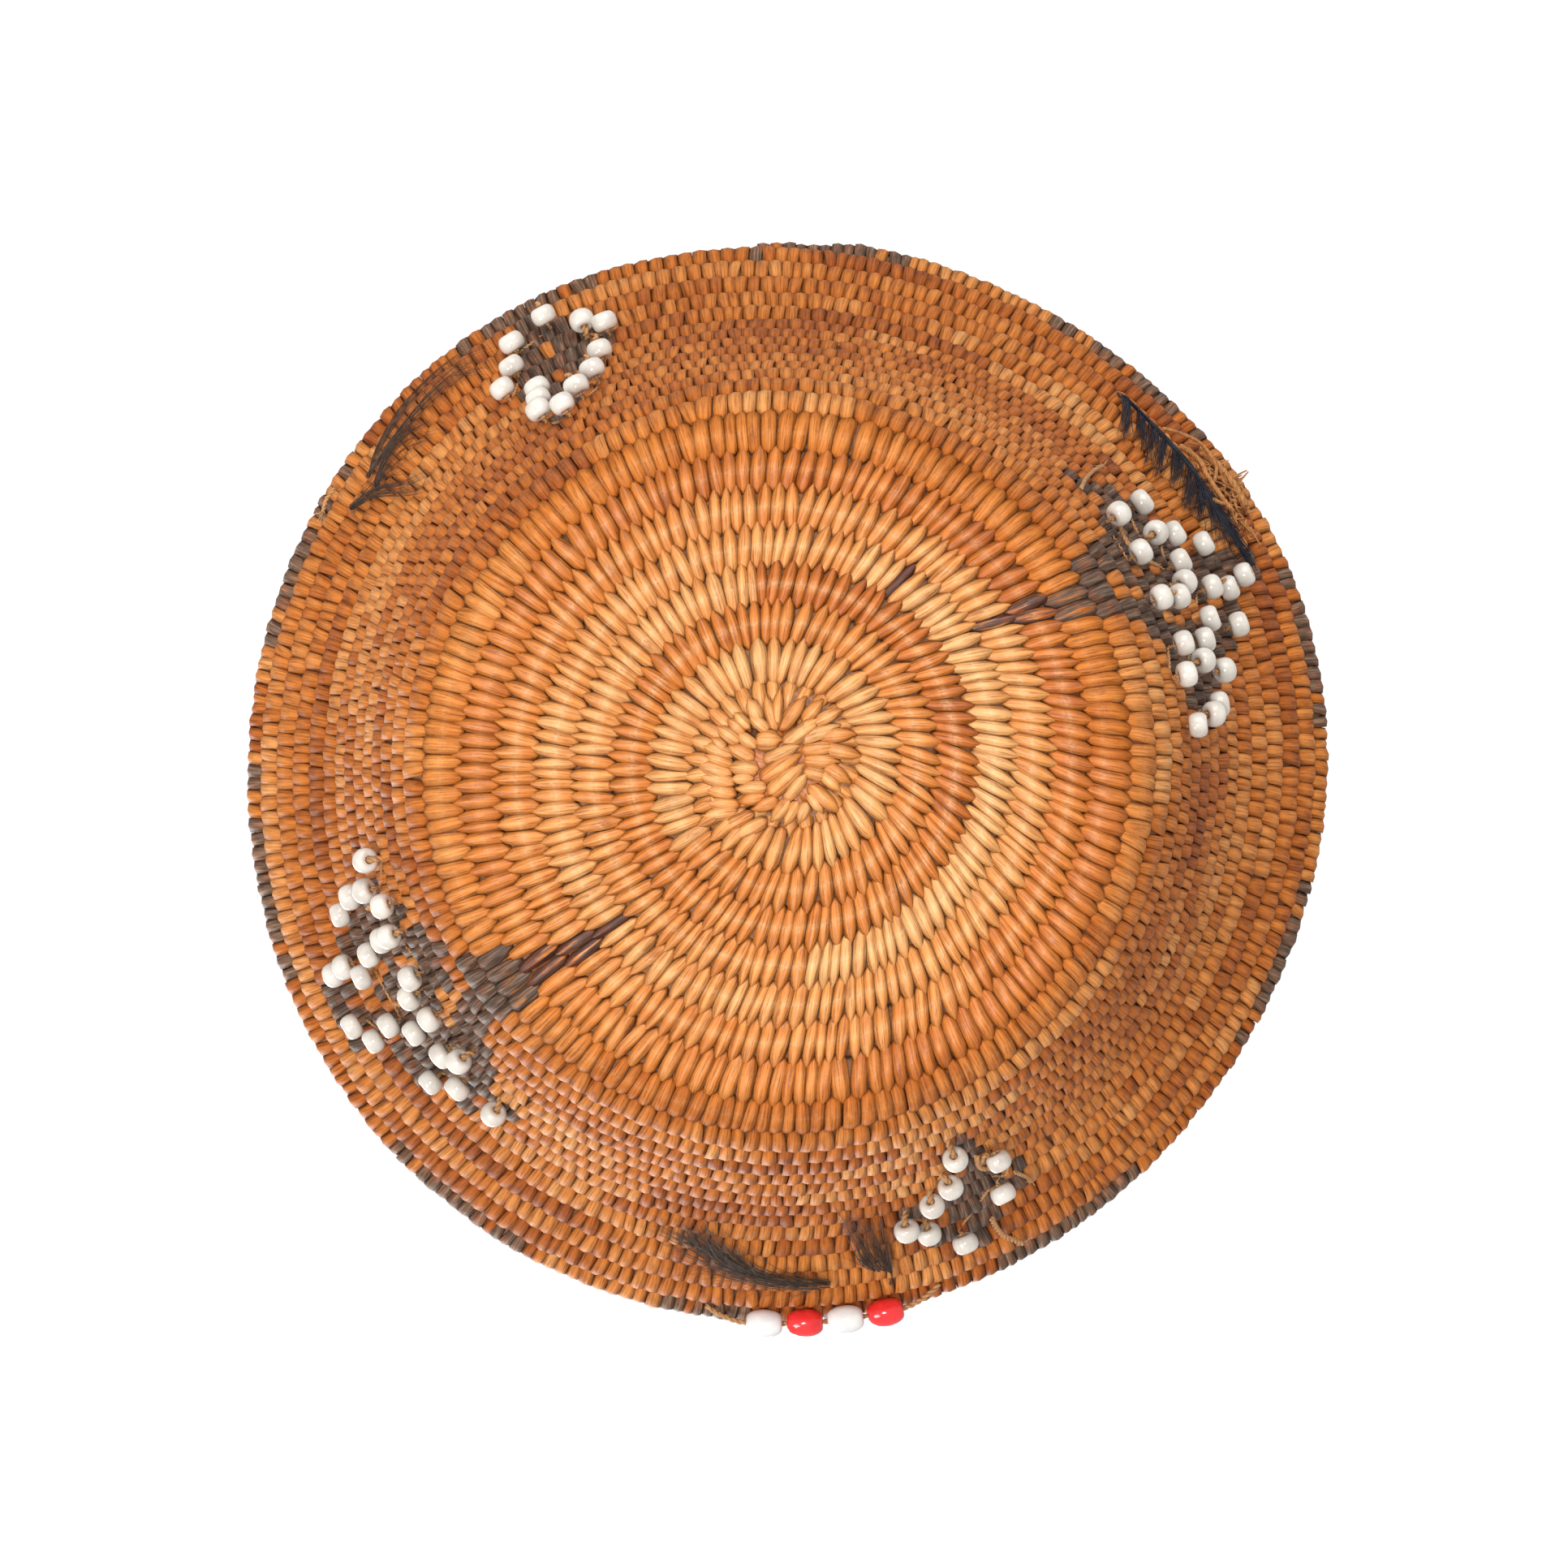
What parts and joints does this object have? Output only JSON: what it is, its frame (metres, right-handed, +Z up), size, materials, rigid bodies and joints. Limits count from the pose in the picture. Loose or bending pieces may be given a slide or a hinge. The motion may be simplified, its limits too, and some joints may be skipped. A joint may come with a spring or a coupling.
{
  "type": "miniature coiled basket",
  "caption": "Small coiled basket with flared sides and a flat base, seed beads sewn to its wall, larger beads on a cord at the rim and dark feather tufts.",
  "frame": {"origin": "middle of the flat underside of the base, where the basket stands", "axes": "+Z up through the mouth, -Y towards the four rim beads"},
  "size_m": [0.0895, 0.0914, 0.0433],
  "materials": {
    "pale_strand": "satin",
    "tan_strand": "satin",
    "russet_strand": "satin",
    "dark_strand": "matte",
    "milk_glass": "gloss",
    "red_glass": "gloss",
    "dark_feather": "matte",
    "tan_cord": "matte"
  },
  "bodies": {
    "basket": {"start_knot": "pale_strand", "base_coil": "pale_strand", "wall_coil_lower": "russet_strand", "wall_coil_middle": "tan_strand", "wall_coil_upper": "russet_strand", "rim_coil": "dark_strand", "east_seed_bead_11": "milk_glass", "east_seed_bead_12": "milk_glass", "east_seed_bead_13": "milk_glass", "east_seed_pair_01": "milk_glass", "east_seed_pair_02": "milk_glass", "east_seed_pair_03": "milk_glass", "east_seed_pair_04": "milk_glass", "east_seed_pair_05": "milk_glass", "east_seed_pair_06": "milk_glass", "east_seed_pair_07": "milk_glass", "east_seed_pair_08": "milk_glass", "east_seed_pair_09": "milk_glass", "east_seed_pair_10": "milk_glass", "feather_bottom_left": "dark_feather", "feather_bottom_right": "dark_feather", "feather_cord": "tan_cord", "feather_left_inner": "dark_feather", "feather_left_low": "dark_feather", "feather_left_outer": "dark_feather", "feather_left_short": "dark_feather", "feather_right": "dark_feather", "frayed_cord": "tan_cord", "rim_bead_cord": "tan_cord", "south_seed_bead_04": "milk_glass", "south_seed_bead_05": "milk_glass", "south_seed_pair_01": "milk_glass", "south_seed_pair_02": "milk_glass", "south_seed_pair_03": "milk_glass", "top_seed_bead_07": "milk_glass", "top_seed_pair_01": "milk_glass", "top_seed_pair_02": "milk_glass", "top_seed_pair_03": "milk_glass", "top_seed_pair_04": "milk_glass", "top_seed_pair_05": "milk_glass", "top_seed_pair_06": "milk_glass", "west_seed_bead_10": "milk_glass", "west_seed_bead_11": "milk_glass", "west_seed_bead_12": "milk_glass", "west_seed_bead_13": "milk_glass", "west_seed_bead_14": "milk_glass", "west_seed_pair_01": "milk_glass", "west_seed_pair_02": "milk_glass", "west_seed_pair_03": "milk_glass", "west_seed_pair_04": "milk_glass", "west_seed_pair_05": "milk_glass", "west_seed_pair_06": "milk_glass", "west_seed_pair_07": "milk_glass", "west_seed_pair_08": "milk_glass", "west_seed_pair_09": "milk_glass"},
    "body_rim_bead_1_white": {"rim_bead_1_white": "milk_glass"},
    "body_rim_bead_2_red": {"rim_bead_2_red": "red_glass"},
    "body_rim_bead_3_white": {"rim_bead_3_white": "milk_glass"},
    "body_rim_bead_4_red": {"rim_bead_4_red": "red_glass"}
  },
  "joints": [
    {"name": "rim_bead_1_white_spin", "type": "hinge", "parent": "basket", "child": "body_rim_bead_1_white", "pos_m": [0.00165, -0.046, 0.03844], "axis": [-0.9996, -0.0283, 0], "continuous": true},
    {"name": "rim_bead_2_red_spin", "type": "hinge", "parent": "basket", "child": "body_rim_bead_2_red", "pos_m": [-0.00172, -0.04596, 0.03847], "axis": [-0.9989, 0.0464, 0], "continuous": true},
    {"name": "rim_bead_3_white_spin", "type": "hinge", "parent": "basket", "child": "body_rim_bead_3_white", "pos_m": [-0.00507, -0.04565, 0.0385], "axis": [-0.9927, 0.1208, 0], "continuous": true},
    {"name": "rim_bead_4_red_spin", "type": "hinge", "parent": "basket", "child": "body_rim_bead_4_red", "pos_m": [-0.00838, -0.04509, 0.03853], "axis": [-0.9809, 0.1946, 0], "continuous": true}
  ]
}
